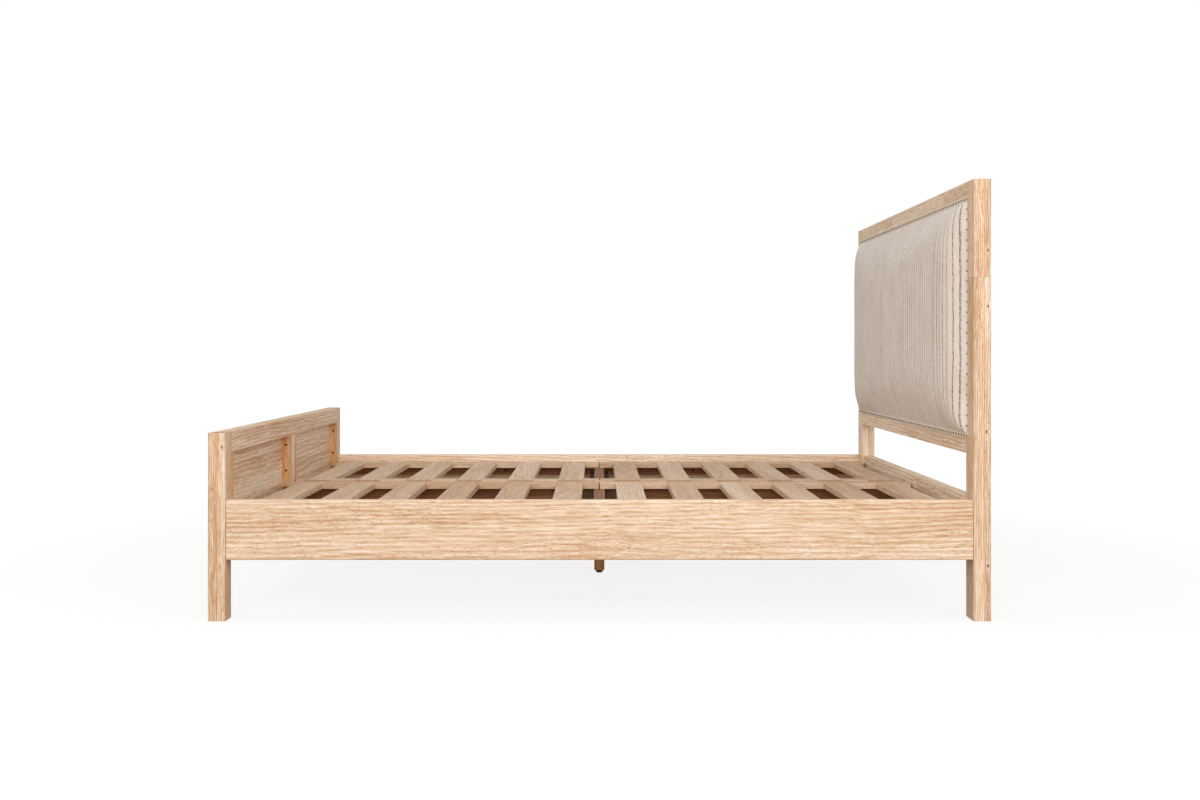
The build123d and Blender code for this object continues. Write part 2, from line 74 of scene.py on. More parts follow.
# Light
SKY_STRENGTH = 0.50
FRONT_LIGHT = 152.0
TOP_LIGHT = 24.0
HEAD_SIDE_LIGHT = 42.0
FOOT_SIDE_LIGHT = 58.0
FLOOR_GLOW = 0.82
FLOOR_GLOW_STRENGTH = 1.03
FLOOR_SHADOW_REACH = (1.5, 3.2)
FLOOR_BOUNCE = (0.36, 0.20, 0.09, 1.0)

# Upholstery
TRIM_WIDTH = 13 * MM
TRIM_THICKNESS = 1.5 * MM
TRIM_CORNER = 6 * MM
TRIM_STEP = 1.1 * MM
TRIM_LOBE = 5.5 * MM
CLOTH_THICKNESS = 1.5 * MM
CLOTH_TUCK = 2 * MM
CLOTH_EDGE = TRIM_WIDTH + 0.3 * MM
PAD_ROLL = 56 * MM
PAD_START_RISE = 25 * MM
PAD_DOME = 5 * MM
PAD_LARGEST_MOVE = 22 * MM
PAD_PRESSURE = 4.0
PAD_SLACK = 0.004
PAD_FIRST_STEP = 0.8 * MM
PAD_STEP_GROWTH = 1.22
PAD_LARGEST_STEP = 13 * MM
PAD_FRAMES = 20
NAIL_PITCH = 29 * MM
STRIPE_PITCH = 27 * MM
BOLD_STRIPES = (-0.742, -0.612, -0.566)
PUCKER_DEPTH = 1.2 * MM
PUCKER_REACH = 16 * MM

# Deck
SLAT_WIDTH = 85 * MM
SLAT_COUNT = 6

# Wood: angle of the ring pattern per metre
RING_TURN = 1250.0
ARCH_TURN = 1100.0


def srgb(red, green, blue):
    """A screen colour of 0 to 255 as the linear colour that shaders take."""
    def linear(value):
        value = value / 255
        return value / 12.92 if value <= 0.04045 else ((value + 0.055) / 1.055) ** 2.4
    return (linear(red), linear(green), linear(blue), 1.0)


class Graph:
    """The shader nodes of one material, with short calls for the sums that patterns need."""

    def __init__(self, name):
        self.material = bpy.data.materials.new(name)
        self.material.use_nodes = True
        self.nodes = self.material.node_tree.nodes
        self.links = self.material.node_tree.links
        self.nodes.clear()

    def add(self, kind, **settings):
        node = self.nodes.new(kind)
        for key, value in settings.items():
            setattr(node, key, value)
        return node

    def feed(self, socket, value):
        if isinstance(value, bpy.types.NodeSocket):
            self.links.new(value, socket)
        else:
            socket.default_value = value

    def math(self, operation, first, second=0.0):
        node = self.add("ShaderNodeMath", operation=operation)
        self.feed(node.inputs[0], first)
        self.feed(node.inputs[1], second)
        return node.outputs[0]

    def vector(self, operation, first, second):
        node = self.add("ShaderNodeVectorMath", operation=operation)
        self.feed(node.inputs[0], first)
        self.feed(node.inputs[1], second)
        return node.outputs["Vector"]

    def length(self, value):
        node = self.add("ShaderNodeVectorMath", operation="LENGTH")
        self.feed(node.inputs[0], value)
        return node.outputs["Value"]

    def combine(self, x, y, z):
        node = self.add("ShaderNodeCombineXYZ")
        for socket, value in zip(node.inputs, (x, y, z)):
            self.feed(socket, value)
        return node.outputs[0]

    def split(self, value):
        node = self.add("ShaderNodeSeparateXYZ")
        self.feed(node.inputs[0], value)
        return node.outputs[0], node.outputs[1], node.outputs[2]

    def noise(self, at, scale, detail=2.0, roughness=0.5, colour=False):
        """Noise whose scale may differ along the three axes."""
        if isinstance(scale, tuple):
            at = self.vector("MULTIPLY", at, scale)
            scale = 1.0
        node = self.add("ShaderNodeTexNoise")
        self.feed(node.inputs["Vector"], at)
        self.feed(node.inputs["Scale"], scale)
        self.feed(node.inputs["Detail"], detail)
        self.feed(node.inputs["Roughness"], roughness)
        return node.outputs[1 if colour else 0]

    def chance(self, number, colour=False):
        """The same random value or colour wherever number is the same."""
        node = self.add("ShaderNodeTexWhiteNoise", noise_dimensions="1D")
        self.feed(node.inputs["W"], number)
        return node.outputs["Color" if colour else "Value"]

    def smooth(self, value, low, high, start=0.0, end=1.0):
        """start below low, end above high, and a smooth change between them."""
        node = self.add("ShaderNodeMapRange", interpolation_type="SMOOTHSTEP")
        for socket, number in zip(node.inputs, (value, low, high, start, end)):
            self.feed(socket, number)
        return node.outputs[0]

    def ramp(self, value, stops):
        node = self.add("ShaderNodeValToRGB")
        self.feed(node.inputs[0], value)
        elements = node.color_ramp.elements
        while len(elements) < len(stops):
            elements.new(1.0)
        for element, (position, colour) in zip(elements, stops):
            element.position = position
            element.color = colour
        return node.outputs[0]

    def mix(self, factor, first, second):
        node = self.add("ShaderNodeMix", data_type="RGBA")
        self.feed(node.inputs[0], factor)
        self.feed(node.inputs[6], first)
        self.feed(node.inputs[7], second)
        return node.outputs[2]

    def bump(self, height, strength, distance):
        node = self.add("ShaderNodeBump")
        self.feed(node.inputs["Strength"], strength)
        self.feed(node.inputs["Distance"], distance)
        self.feed(node.inputs["Height"], height)
        return node.outputs[0]

    def finish(self, **inputs):
        """Close the graph with a surface shader that takes these inputs."""
        shader = self.add("ShaderNodeBsdfPrincipled")
        for key, value in inputs.items():
            self.feed(shader.inputs[key.replace("_", " ")], value)
        output = self.add("ShaderNodeOutputMaterial")
        self.links.new(shader.outputs[0], output.inputs["Surface"])
        return self.material


# Wood: tones from dark grain to cream. HONEY, DECK and CLEAT are as seen where the light is full; the leg and
# beam tones below are darker, with painted shade in them
HONEY = (srgb(198, 155, 116), srgb(231, 204, 174), srgb(251, 237, 218))
DECK = (srgb(190, 150, 114), srgb(216, 186, 156), srgb(236, 214, 190))
# Leg tones: darker and warmer than the frame's, painted shade for the leg under the bed
LEG_TONES_WITH_PAINTED_SHADE = (srgb(166, 116, 74), srgb(196, 148, 102), srgb(218, 178, 134))
# Beam tones: darker than the frame's, painted shade for the shadow under the deck
BEAM_TONES_WITH_PAINTED_SHADE = (srgb(112, 70, 42), srgb(142, 98, 62), srgb(172, 128, 88))
CLEAT = (srgb(186, 130, 80), srgb(216, 166, 114), srgb(238, 200, 154))


def wood(name, along, seed, tones=HONEY, splits=(), repeat=None, knots=(), figure=1.0, arch=None):
    """Solid timber whose grain runs along one axis. splits are (axis, place) where one glued
    strip ends and the next begins; repeat is (axis, start, pitch) for a row of equal boards;
    knots are (x, y, z, radius); arch is the (lengthwise, upward) middle of a flat-sawn figure."""
    graph = Graph(name)
    coordinates = graph.add("ShaderNodeTexCoord")
    place = coordinates.outputs["Object"]
    axes = dict(zip("XYZ", graph.split(place)))
    across = {"X": ("Y", "Z"), "Y": ("Z", "X"), "Z": ("X", "Y")}[along]

    strip = float(seed)
    glue_line = 0.0
    for number, (axis, at) in enumerate(splits):
        step = graph.math("GREATER_THAN", axes[axis], at)
        strip = graph.math("ADD", strip, graph.math("MULTIPLY", step, 3.7 + 2.3 * number))
        gap = graph.math("ABSOLUTE", graph.math("SUBTRACT", axes[axis], at))
        line = graph.smooth(gap, 0.0, 0.9 * MM, 1.0, 0.0)
        glue_line = graph.math("MAXIMUM", glue_line, line)
    if repeat:
        axis, start, pitch = repeat
        from_start = graph.math("SUBTRACT", axes[axis], start)
        board = graph.math("FLOOR", graph.math("DIVIDE", from_start, pitch))
        strip = graph.math("ADD", strip, graph.math("MULTIPLY", board, 5.3))
    luck = graph.chance(strip, colour=True)
    own_red, own_green, own_blue = graph.split(luck)

    # Lengthwise first, then the two directions across
    grain_at = graph.combine(axes[along], axes[across[0]], axes[across[1]])
    offset = graph.vector("MULTIPLY", luck, (9.0, 7.0, 8.0))
    grain_at = graph.vector("ADD", grain_at, offset)
    sway = graph.noise(grain_at, (1.6, 5.0, 5.0), 2.0, 0.5, colour=True)
    sway = graph.vector("MULTIPLY", graph.vector("SUBTRACT", sway, (0.5, 0.5, 0.5)), (0.0, 0.05, 0.05))
    ripple = graph.noise(grain_at, (7.0, 15.0, 15.0), 2.0, 0.5, colour=True)
    ripple = graph.vector("MULTIPLY", graph.vector("SUBTRACT", ripple, (0.5, 0.5, 0.5)),
                          (0.0, 0.015, 0.015))
    flow = graph.vector("ADD", graph.vector("ADD", grain_at, sway), ripple)
    knot_dark = 0.0
    for x, y, z, radius in knots:
        apart = graph.vector("SUBTRACT", place, (x, y, z))
        stretch = {"X": (0.6, 1, 1), "Y": (1, 0.6, 1), "Z": (1, 1, 0.6)}[along]
        distance = graph.length(graph.vector("MULTIPLY", apart, stretch))
        push = graph.smooth(distance, radius, radius * 5, 0.02, 0.0)
        flow = graph.vector("ADD", flow, graph.combine(0.0, push, push))
        core = graph.smooth(distance, radius * 0.5, radius * 1.3, 1.0, 0.0)
        knot_dark = graph.math("MAXIMUM", knot_dark, core)

    # Growth rings about a pith that lies outside the board
    tilt = graph.math("MULTIPLY", graph.math("SUBTRACT", own_blue, 0.5), 0.05)
    lean = graph.math("MULTIPLY", axes[along], tilt)
    side = graph.math("ADD", graph.math("MULTIPLY", graph.math("SUBTRACT", own_red, 0.5), 0.24), lean)
    up = graph.math("ADD", graph.math("MULTIPLY", own_green, 0.10), 0.05)
    ring_at = graph.combine(0.0, graph.math("ADD", axes[across[0]], side),
                            graph.math("ADD", axes[across[1]], up))
    from_pith = graph.length(ring_at)
    shake = graph.noise(flow, (2.2, 9.0, 9.0), 3.0, 0.55)
    turn = graph.math("ADD", graph.math("MULTIPLY", from_pith, RING_TURN), graph.math("MULTIPLY", shake, 16.0))
    ring_depth = 0.085 * figure
    if arch:
        lengthwise = graph.math("MULTIPLY", graph.math("SUBTRACT", axes[along], arch[0]), 0.42)
        upward = graph.math("SUBTRACT", axes[across[1]], arch[1])
        outward = graph.length(graph.combine(lengthwise, upward, 0.0))
        arched = graph.smooth(outward, 0.025, 0.060, 1.0, 0.0)
        height = graph.math("ADD", upward, graph.math("MULTIPLY", graph.math("POWER", lengthwise, 2.0), 22.0))
        loops = graph.math("ADD", graph.math("MULTIPLY", height, ARCH_TURN),
                           graph.math("MULTIPLY", shake, 12.0))
        turn = graph.math("ADD", graph.math("MULTIPLY", turn, graph.math("SUBTRACT", 1.0, arched)),
                          graph.math("MULTIPLY", loops, arched))
        ring_depth = graph.math("ADD", graph.math("MULTIPLY", arched, 0.05), ring_depth)
    rings = graph.math("MULTIPLY", graph.math("ADD", graph.math("SINE", turn), 1.0), 0.5)

    broad = graph.noise(flow, (0.9, 22.0, 22.0), 4.0, 0.6)
    streaks = graph.noise(flow, (5.0, 170.0, 170.0), 3.0, 0.66)
    fibres = graph.noise(flow, (17.0, 380.0, 380.0), 2.0, 0.7)
    zone = graph.noise(grain_at, (1.3, 11.0, 11.0), 2.0)
    pores = graph.noise(flow, (85.0, 330.0, 330.0), 2.0, 0.55)
    dashes = graph.smooth(pores, 0.53, 0.68)
    dashes = graph.math("MULTIPLY", dashes, graph.smooth(zone, 0.38, 0.62, 0.25, 1.0))

    shade = graph.math("MULTIPLY", broad, 0.28)
    shade = graph.math("ADD", shade, graph.math("MULTIPLY", streaks, 0.34))
    shade = graph.math("ADD", shade, graph.math("MULTIPLY", fibres, 0.38))
    ring_tone = graph.math("MULTIPLY", graph.math("SUBTRACT", rings, 0.5), ring_depth)
    shade = graph.math("ADD", shade, ring_tone)
    shade = graph.math("ADD", shade, graph.math("MULTIPLY", graph.math("SUBTRACT", own_red, 0.5), 0.09))
    colour = graph.ramp(shade, [(0.38, tones[0]), (0.51, tones[1]), (0.64, tones[2])])
    brown = srgb(150, 106, 68)
    colour = graph.mix(graph.math("MULTIPLY", dashes, 0.42 * figure), colour, brown)
    colour = graph.mix(graph.math("MULTIPLY", knot_dark, 0.85), colour, srgb(92, 50, 26))
    colour = graph.mix(graph.math("MULTIPLY", glue_line, 0.55), colour, srgb(120, 82, 50))

    facing = graph.split(coordinates.outputs["Normal"])["XYZ".index(along)]
    end_grain = graph.smooth(graph.math("ABSOLUTE", facing), 0.6, 0.9)
    speckle = graph.noise(grain_at, (40.0, 900.0, 900.0), 2.0)
    end_colour = graph.mix(speckle, srgb(150, 108, 70), srgb(206, 166, 122))
    colour = graph.mix(graph.math("MULTIPLY", end_grain, 0.7), colour, end_colour)

    roughness = graph.math("ADD", graph.math("MULTIPLY", fibres, 0.16), 0.46)
    relief = graph.math("SUBTRACT", graph.math("MULTIPLY", fibres, 0.5), dashes)
    return graph.finish(
        Base_Color=colour, Roughness=roughness, Specular_IOR_Level=0.22,
        Normal=graph.bump(relief, 0.35, 0.35 * MM))


def metal(name, colour, roughness, wear):
    """Steel or bronze with a cloudy finish and fine scratches."""
    graph = Graph(name)
    place = graph.add("ShaderNodeTexCoord").outputs["Object"]
    cloud = graph.noise(place, 260.0, 3.0, 0.6)
    scratches = graph.noise(place, (900.0, 120.0, 900.0), 2.0)
    tone = graph.mix(graph.smooth(cloud, 0.35, 0.65), colour, wear)
    rough = graph.math("ADD", graph.math("MULTIPLY", scratches, 0.25), roughness)
    return graph.finish(Base_Color=tone, Metallic=1.0, Roughness=rough,
                        Normal=graph.bump(scratches, 0.15, 0.1 * MM))


def moulded(name):
    """Matt black moulded plastic with a fine pebble."""
    graph = Graph(name)
    place = graph.add("ShaderNodeTexCoord").outputs["Object"]
    pebble = graph.noise(place, 1400.0, 2.0)
    tone = graph.mix(pebble, srgb(24, 23, 22), srgb(46, 44, 42))
    return graph.finish(Base_Color=tone, Roughness=0.62, Normal=graph.bump(pebble, 0.3, 0.1 * MM))


def plywood(name):
    """Face veneer, with the plies showing on the edges."""
    graph = Graph(name)
    coordinates = graph.add("ShaderNodeTexCoord")
    place = coordinates.outputs["Object"]
    drift = graph.vector("MULTIPLY", graph.noise(place, 3.0, colour=True), (0.05, 0.0, 0.05))
    flow = graph.vector("ADD", place, drift)
    veneer = graph.noise(flow, (60.0, 2.0, 26.0), 4.0, 0.6)
    fine = graph.noise(flow, (400.0, 20.0, 300.0), 2.0)
    shade = graph.math("ADD", graph.math("MULTIPLY", veneer, 0.8), graph.math("MULTIPLY", fine, 0.2))
    tone = graph.ramp(shade, [(0.3, srgb(166, 124, 82)), (0.5, srgb(196, 156, 112)),
                              (0.7, srgb(218, 184, 142))])
    depth = graph.split(place)[0]
    ply = graph.math("SINE", graph.math("MULTIPLY", depth, 2 * math.pi / (3 * MM)))
    edge_tone = graph.mix(graph.smooth(ply, -0.3, 0.3), srgb(140, 98, 62), srgb(202, 164, 120))
    facing = graph.math("ABSOLUTE", graph.split(coordinates.outputs["Normal"])[0])
    tone = graph.mix(graph.smooth(facing, 0.5, 0.8), edge_tone, tone)
    return graph.finish(Base_Color=tone, Roughness=0.66, Normal=graph.bump(fine, 0.3, 0.3 * MM))


def striped_cloth(name):
    """Ivory linen with thin woven stripes of uneven strength, which follow the cloth."""
    graph = Graph(name)
    weave_at = graph.add("ShaderNodeAttribute", attribute_name="weave").outputs["Vector"]
    across, upward, _ = graph.split(weave_at)
    sway = graph.noise(weave_at, (6.0, 3.0, 1.0), 2.0)
    across = graph.math("ADD", across, graph.math("MULTIPLY", graph.math("SUBTRACT", sway, 0.5), 5 * MM))

    def line(apart, half_width):
        return graph.smooth(apart, half_width * 0.55, half_width * 1.2, 1.0, 0.0)

    def stripes(pitch, seed, half_width, jitter):
        cell = graph.math("FLOOR", graph.math("DIVIDE", across, pitch))
        luck = graph.chance(graph.math("ADD", cell, seed))
        strength = graph.chance(graph.math("ADD", cell, seed + 0.37))
        middle = graph.math("MULTIPLY", graph.math("ADD", cell, 0.5), pitch)
        shift = graph.math("MULTIPLY", graph.math("SUBTRACT", luck, 0.5), pitch * jitter)
        from_line = graph.math("SUBTRACT", graph.math("SUBTRACT", across, middle), shift)
        apart = graph.math("ABSOLUTE", from_line)
        return line(apart, half_width), strength

    main, main_strength = stripes(STRIPE_PITCH, 0.15, 2.8 * MM, 0.16)
    faint, faint_strength = stripes(STRIPE_PITCH * 0.71, 51.6, 1.1 * MM, 0.7)
    bold = 0.0
    for at in BOLD_STRIPES:
        apart = graph.math("ABSOLUTE", graph.math("SUBTRACT", across, at))
        bold = graph.math("MAXIMUM", bold, line(apart, 1.7 * MM))
    stitches = graph.noise(graph.vector("MULTIPLY", weave_at, (1.0, 1.0, 0.0)), (300.0, 90.0, 1.0), 1.0)
    dotted = graph.smooth(stitches, 0.36, 0.58, 0.40, 1.0)
    dark = graph.math("MULTIPLY", graph.math("MULTIPLY", main, dotted),
                      graph.math("ADD", graph.math("MULTIPLY", main_strength, 0.36), 0.60))
    dark = graph.math("MAXIMUM", dark, graph.math("MULTIPLY", bold, graph.math("MULTIPLY", dotted, 0.95)))
    pale = graph.math("MULTIPLY", graph.math("MULTIPLY", faint, dotted),
                      graph.math("MULTIPLY", faint_strength, 0.4))

    warp = graph.math("SINE", graph.math("MULTIPLY", across, 2 * math.pi / (1.5 * MM)))
    weft = graph.math("SINE", graph.math("MULTIPLY", upward, 2 * math.pi / (1.3 * MM)))
    threads = graph.math("MULTIPLY", warp, weft)
    slub_up = graph.noise(weave_at, (420.0, 26.0, 1.0), 2.0)
    slub_across = graph.noise(weave_at, (26.0, 420.0, 1.0), 2.0)
    slubs = graph.math("MULTIPLY", graph.math("ADD", slub_up, slub_across), 0.5)
    cloud = graph.noise(weave_at, 9.0, 2.0)
    body = graph.math("ADD", graph.math("MULTIPLY", slubs, 0.75), graph.math("MULTIPLY", cloud, 0.25))
    colour = graph.ramp(body, [(0.34, srgb(222, 209, 197)), (0.5, srgb(241, 231, 221)),
                               (0.66, srgb(252, 246, 238))])
    # Painted shade: the low points of the weave darkened a little
    colour = graph.mix(graph.math("MULTIPLY", graph.smooth(threads, -0.9, 0.3, 1.0, 0.0), 0.10),
                       colour, srgb(190, 172, 150))
    colour = graph.mix(pale, colour, srgb(140, 136, 128))
    colour = graph.mix(dark, colour, srgb(84, 86, 84))
    relief = graph.math("ADD", graph.math("MULTIPLY", threads, 0.4), slubs)
    relief = graph.math("ADD", relief, graph.math("MULTIPLY", main, 0.35))
    return graph.finish(Base_Color=colour, Roughness=0.9, Specular_IOR_Level=0.2, Sheen_Weight=0.25,
                        Sheen_Roughness=0.5, Normal=graph.bump(relief, 0.45, 0.5 * MM))


def braid(name):
    """Cotton trim, with painted shade darkening the hollows of its plait."""
    graph = Graph(name)
    weave_at = graph.add("ShaderNodeAttribute", attribute_name="weave").outputs["Vector"]
    _, _, lift = graph.split(weave_at)
    yarn = graph.noise(weave_at, (700.0, 900.0, 0.0), 2.0)
    # Painted shade: the plait's low places darker
    tone = graph.mix(graph.smooth(lift, 0.15, 0.85), srgb(196, 178, 152), srgb(244, 236, 222))
    tone = graph.mix(graph.math("MULTIPLY", yarn, 0.3), tone, srgb(214, 200, 178))
    return graph.finish(Base_Color=tone, Roughness=0.88, Specular_IOR_Level=0.2, Sheen_Weight=0.2,
                        Sheen_Roughness=0.5, Normal=graph.bump(yarn, 0.4, 0.2 * MM))


def paint_nodes():
    """Give every CAD node that stays its material."""
    def strips(node, axis, *shares):
        low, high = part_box(node)
        index = "XYZ".index(axis)
        return tuple((axis, low[index] + (high[index] - low[index]) * share) for share in shares)

    near_knots = [
        (1.066, -0.82, 1.019, 2.5 * MM), (1.066, -0.82, 0.865, 3 * MM),
        (1.062, -0.82, 0.520, 3 * MM), (1.066, -0.82, 0.152, 3 * MM),
    ]
    posts = {
        "foot_post_left": (11, strips("foot_post_left", "X", 0.54), []),
        "foot_post_right": (23, strips("foot_post_right", "X", 0.54), [(-1.036, -0.82, 0.478, 2.5 * MM)]),
        "head_post_left": (37, strips("head_post_left", "X", 0.5), []),
        "head_post_right": (41, strips("head_post_right", "X", 0.62) + (("Z", 0.945),), near_knots),
    }
    for node, (seed, splits, knots) in posts.items():
        material = wood(node, "Z", seed, splits=splits, knots=knots)
        assign(node, material)

    assign("side_rail_left", wood("side_rail_left", "X", 3))
    assign("side_rail_right", wood("side_rail_right", "X", 5, arch=(0.084, 0.198),
                                   knots=[(0.080, -0.818, 0.2015, 2 * MM)]))
    cross = {
        "headboard_top_rail": (("Y", -0.498), ("Y", 0.21)),
        "headboard_lower_rail": (("Y", 0.05),),
        "headboard_bottom_rail": (("Y", -0.12), ("Y", 0.4)),
        "footboard_top_rail": (("Y", -0.31), ("Y", 0.35)),
        "footboard_bottom_rail": (("Y", 0.1),),
    }
    for number, (node, splits) in enumerate(cross.items()):
        assign(node, wood(node, "Y", 61 + 7 * number, splits=splits))
    for number, side in enumerate(("left", "right")):
        low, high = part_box(f"footboard_panel_{side}")
        boards = tuple(("Z", low.z + (high.z - low.z) * share) for share in (0.34, 0.7))
        assign(f"footboard_panel_{side}", wood(f"footboard_panel_{side}", "Y", 101 + number, splits=boards))
        for place in ("post", "muntin"):
            node = f"cleat_{side}_{place}"
            assign(node, wood(node, "Z", 111 + 3 * number + len(place), CLEAT))
    assign("footboard_muntin", wood("footboard_muntin", "Z", 131))

    for number, (end, side) in enumerate((e, s) for e in ("foot", "head") for s in ("left", "right")):
        panel = f"panel_{end}_{side}"
        low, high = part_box(f"{panel}_slats")
        pitch = (high.x - low.x - SLAT_WIDTH) / (SLAT_COUNT - 1)
        start = low.x - (pitch - SLAT_WIDTH) / 2
        assign(f"{panel}_slats", wood(f"{panel}_slats", "Y", 151 + 13 * number, DECK,
                                      repeat=("X", start, pitch), figure=0.8))
        for row, rail in enumerate(("inner_rail", "outer_rail")):
            assign(f"{panel}_{rail}", wood(f"{panel}_{rail}", "X", 211 + 5 * number + row, DECK, figure=0.8))
    # Ledgers, centre beams and crossbeam take the beam tones: painted shade under the deck
    for number, node in enumerate(("ledger_left", "ledger_right")):
        assign(node, wood(node, "X", 251 + number, BEAM_TONES_WITH_PAINTED_SHADE, splits=(("X", 0.0),)))
    for number, node in enumerate(("centre_beam_foot", "centre_beam_head")):
        assign(node, wood(node, "X", 261 + number, BEAM_TONES_WITH_PAINTED_SHADE))
    assign("crossbeam", wood("crossbeam", "Y", 271, BEAM_TONES_WITH_PAINTED_SHADE))
    assign("panel_stop_block", wood("panel_stop_block", "X", 281, DECK))
    # The centre leg takes the leg tones: painted shade
    assign("centre_leg", wood("centre_leg", "Z", 291, LEG_TONES_WITH_PAINTED_SHADE))
    assign("headboard_base_board", plywood("plywood"))

    zinc = metal("zinc_steel", srgb(116, 98, 78), 0.50, srgb(84, 66, 48))
    black = metal("black_steel", srgb(18, 18, 18), 0.45, srgb(34, 33, 32))
    bright = metal("bright_steel", srgb(150, 146, 140), 0.35, srgb(112, 104, 96))
    bronze = metal("dark_bronze", srgb(40, 30, 24), 0.38, srgb(66, 50, 36))
    for node in ("beam_stirrups", "bed_bolts", "bolt_washers", "barrel_nuts", "leg_dowel_screw",
                 "glide_insert", "glide_stem"):
        assign(node, zinc)
    for node in ("base_board_screws", "cleat_screws", "ledger_screws", "stirrup_screws", "stop_block_screw"):
        assign(node, black)
    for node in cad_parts:
        if node.endswith("_brads"):
            assign(node, bright)
    assign("pad_nailheads", bronze)
    assign("glide_base", moulded("black_plastic"))


def assign(node, material):
    """Put one material on a CAD node."""
    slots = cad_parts[node].material_slots
    for slot in slots:
        slot.link = "OBJECT"
        slot.material = material


def new_object(name, points, faces, weave, material):
    """A smooth-shaded mesh object, with the place of each point in its cloth."""
    mesh = bpy.data.meshes.new(name)
    mesh.from_pydata([tuple(point) for point in points], [], faces)
    mesh.update()
    attribute = mesh.attributes.new("weave", "FLOAT_VECTOR", "POINT")
    attribute.data.foreach_set("vector", np.asarray(weave, np.float32).ravel())
    mesh.polygons.foreach_set("use_smooth", [True] * len(mesh.polygons))
    mesh.materials.append(material)
    obj = bpy.data.objects.new(name, mesh)
    bpy.context.scene.collection.objects.link(obj)
    return obj


def edge_steps(half):
    """Places along half a side, from its edge to its middle, closer together at the edge."""
    places = [CLOTH_TUCK, CLOTH_EDGE * 0.6, CLOTH_EDGE]
    step = PAD_FIRST_STEP
    while places[-1] + step < half:
        places.append(places[-1] + step)
        step = min(step * PAD_STEP_GROWTH, PAD_LARGEST_STEP)
    return np.array(places + [half])


def cushion_points(half_width, half_height):
    """The cloth's places on the board and its rise off the board, as grids."""
    from_edge_y = edge_steps(half_width)
    from_edge_z = edge_steps(half_height)
    ys = np.concatenate([from_edge_y - half_width, (half_width - from_edge_y)[-2::-1]])
    zs = np.concatenate([from_edge_z - half_height, (half_height - from_edge_z)[-2::-1]])
    grid_y, grid_z = np.meshgrid(ys, zs, indexing="ij")

    def profile(inside, reach):
        share = np.clip((inside - CLOTH_EDGE) / reach, 0, 1)
        return np.sqrt(1 - (1 - share) ** 2)

    inside_y = half_width - np.abs(grid_y)
    inside_z = half_height - np.abs(grid_z)
    rise = PAD_START_RISE * profile(inside_y, PAD_ROLL) * profile(inside_z, PAD_ROLL)
    dome = PAD_DOME * profile(inside_y, half_width) * profile(inside_z, half_height)
    return grid_y, grid_z, CLOTH_THICKNESS + rise + dome


def make_cushion(board_x, low, high, material):
    """The pad: a closed crowned form on the board, filled out by simulated cloth."""
    half_width = (high.y - low.y) / 2
    half_height = (high.z - low.z) / 2
    middle_y = (high.y + low.y) / 2
    middle_z = (high.z + low.z) / 2
    grid_y, grid_z, lift = cushion_points(half_width, half_height)
    rows, columns = grid_y.shape
    front = np.stack([board_x - lift, grid_y + middle_y, grid_z + middle_z], axis=-1).reshape(-1, 3)
    rim = [i * columns for i in range(rows)]
    rim += [(rows - 1) * columns + j for j in range(1, columns)]
    rim += [i * columns + columns - 1 for i in range(rows - 2, -1, -1)]
    rim += [j for j in range(columns - 2, 0, -1)]
    back = front[rim].copy()
    back[:, 0] = board_x
    points = np.concatenate([front, back])
    faces = []
    for i in range(rows - 1):
        for j in range(columns - 1):
            a = i * columns + j
            faces.append((a, a + 1, a + columns + 1, a + columns))
    count = len(rim)
    base = rows * columns
    for k in range(count):
        after = (k + 1) % count
        faces.append((rim[k], rim[after], base + after, base + k))
    faces.append(tuple(base + k for k in range(count - 1, -1, -1)))
    weave = np.stack([points[:, 1], points[:, 2], np.zeros(len(points))], axis=-1)
    obj = new_object("headboard_cushion", points, faces, weave, material)

    inside = np.minimum(half_width - np.abs(points[:, 1] - middle_y),
                        half_height - np.abs(points[:, 2] - middle_z))
    held = (inside <= CLOTH_EDGE + 0.01 * MM) | (np.arange(len(points)) >= base)
    fill_cloth(obj, held)
    pull_to_nails(obj, inside, middle_y, middle_z, half_width, half_height, board_x)
    subdivision = obj.modifiers.new("Subdivision", "SUBSURF")
    subdivision.levels = 1
    subdivision.render_levels = 1
    return obj


def mesh_points(mesh):
    points = np.zeros(len(mesh.vertices) * 3)
    mesh.vertices.foreach_get("co", points)
    return points.reshape(-1, 3)


def set_mesh_points(mesh, points):
    mesh.vertices.foreach_set("co", np.asarray(points, np.float64).ravel())
    mesh.update()


def fill_cloth(obj, held):
    """Blow the cloth out with a little pressure and keep its last shape."""
    start = mesh_points(obj.data)
    group = obj.vertex_groups.new(name="held")
    group.add([int(i) for i in np.nonzero(held)[0]], 1.0, "REPLACE")
    cloth = obj.modifiers.new("Cloth", "CLOTH")
    settings = cloth.settings
    settings.quality = 5
    settings.mass = 0.3
    settings.tension_stiffness = 15
    settings.compression_stiffness = 15
    settings.shear_stiffness = 4
    settings.bending_stiffness = 0.4
    settings.use_pressure = True
    settings.uniform_pressure_force = PAD_PRESSURE
    settings.effector_weights.gravity = 0
    settings.vertex_group_mass = "held"
    settings.shrink_min = -PAD_SLACK
    cloth.collision_settings.use_collision = False
    cloth.collision_settings.use_self_collision = False
    cloth.point_cache.frame_start = 1
    cloth.point_cache.frame_end = PAD_FRAMES
    scene = bpy.context.scene
    for number in range(1, PAD_FRAMES + 1):
        scene.frame_set(number)
    evaluated = obj.evaluated_get(bpy.context.evaluated_depsgraph_get())
    blown = mesh_points(evaluated.to_mesh())
    evaluated.to_mesh_clear()
    obj.modifiers.remove(cloth)
    obj.vertex_groups.clear()
    scene.frame_set(1)
    move = blown - start
    length = np.linalg.norm(move, axis=1, keepdims=True)
    move *= PAD_LARGEST_MOVE * np.tanh(length / PAD_LARGEST_MOVE) / np.maximum(length, 1e-9)
    set_mesh_points(obj.data, start + move)


